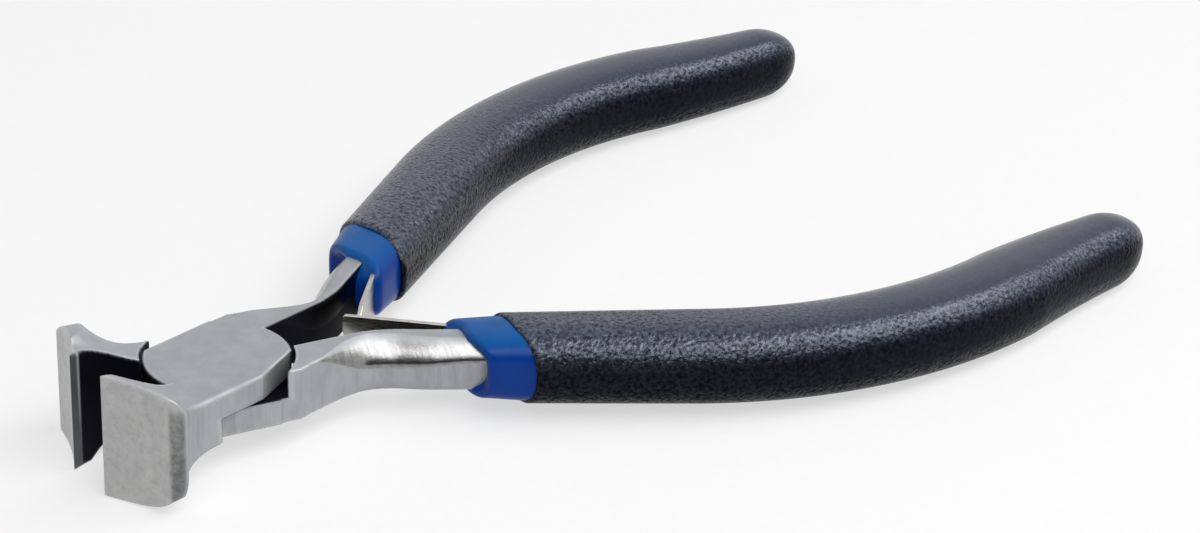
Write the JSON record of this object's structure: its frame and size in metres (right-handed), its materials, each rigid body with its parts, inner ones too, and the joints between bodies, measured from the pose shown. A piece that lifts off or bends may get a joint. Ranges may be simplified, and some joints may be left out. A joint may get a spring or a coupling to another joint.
{
  "type": "end cutting nippers",
  "caption": "Small spring-opened end cutting nippers: lap-jointed steel levers with broad front-cutting jaws, a flush rivet, leaf springs and curved two-colour sleeved handles.",
  "frame": {"origin": "where the pivot axis meets the flat underside of the lap joint", "axes": "+X along the tool from the pivot towards the handle ends, +Y across it towards the upper lever's handle, +Z along the pivot axis towards the upper lap plate"},
  "size_m": [0.1117, 0.072, 0.0134],
  "materials": {
    "lever_steel": "satin ground and blasted tool steel, tangs polished",
    "rivet_steel": "ground flush, satin",
    "spring_steel": "smooth spring strip, bright edges",
    "blue_vinyl": "satin moulded vinyl",
    "black_vinyl": "fine leather grain with a broad sheen"
  },
  "bodies": {
    "lower_half": {"lower_lever": "lever_steel", "lower_collar_sleeve": "blue_vinyl", "lower_grip": "black_vinyl", "lower_spring_rivet": "rivet_steel"},
    "upper_half": {"upper_lever": "lever_steel", "pivot_rivet": "rivet_steel", "upper_collar_sleeve": "blue_vinyl", "upper_grip": "black_vinyl", "upper_spring_rivet": "rivet_steel"},
    "upper_leaf": {"upper_leaf_spring": "spring_steel"},
    "lower_leaf": {"lower_leaf_spring": "spring_steel"}
  },
  "joints": [
    {"name": "pivot", "type": "hinge", "parent": "lower_half", "child": "upper_half", "pos_m": [0, 0, 0], "axis": [0, 0, -1], "range_deg": [-6, 21], "stiffness_Nm_per_rad": 1.2},
    {"name": "upper_leaf_flex", "type": "hinge", "parent": "upper_half", "child": "upper_leaf", "pos_m": [0.02445, 0.00836, 0.0028], "axis": [0, 0, -1], "range_deg": [-5.3, 17.8]},
    {"name": "lower_leaf_flex", "type": "hinge", "parent": "lower_half", "child": "lower_leaf", "pos_m": [0.02445, -0.00836, 0.0028], "axis": [0, 0, 1], "range_deg": [-5.3, 17.8]}
  ],
  "couplings": [
    {"joint": "upper_leaf_flex", "follows": "pivot", "ratio": 0.8371},
    {"joint": "lower_leaf_flex", "follows": "pivot", "ratio": 0.8371}
  ]
}
